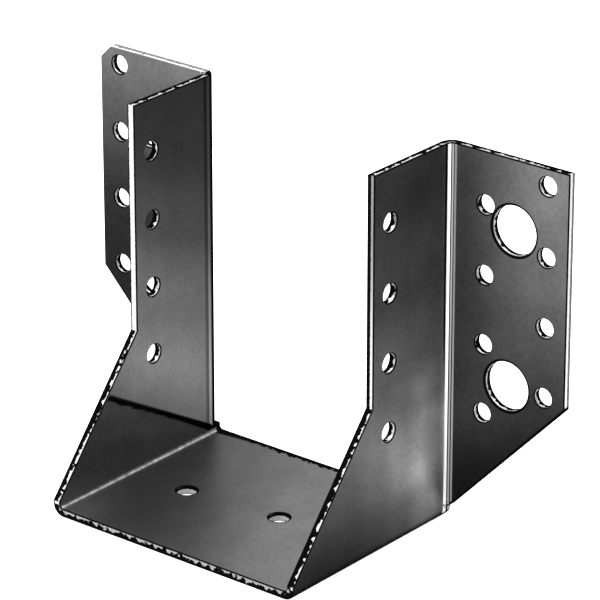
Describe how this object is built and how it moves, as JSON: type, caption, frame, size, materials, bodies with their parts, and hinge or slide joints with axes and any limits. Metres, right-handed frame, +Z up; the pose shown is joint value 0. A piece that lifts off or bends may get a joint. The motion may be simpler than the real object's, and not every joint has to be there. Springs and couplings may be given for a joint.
{
  "type": "joist hanger",
  "caption": "One-piece folded sheet-steel hanger: a seat and two slant-fronted side plates hold a joist, and outward flanges take nails and bolts.",
  "frame": {"origin": "centre of the footprint, on the underside of the seat plate", "axes": "+X to the right flange, +Y back to the header, +Z up"},
  "size_m": [0.162, 0.068, 0.11],
  "materials": {
    "galvanised_sheet": "semi-gloss galvanised"
  },
  "bodies": {
    "root": {"joist_hanger": "galvanised_sheet"}
  },
  "joints": []
}
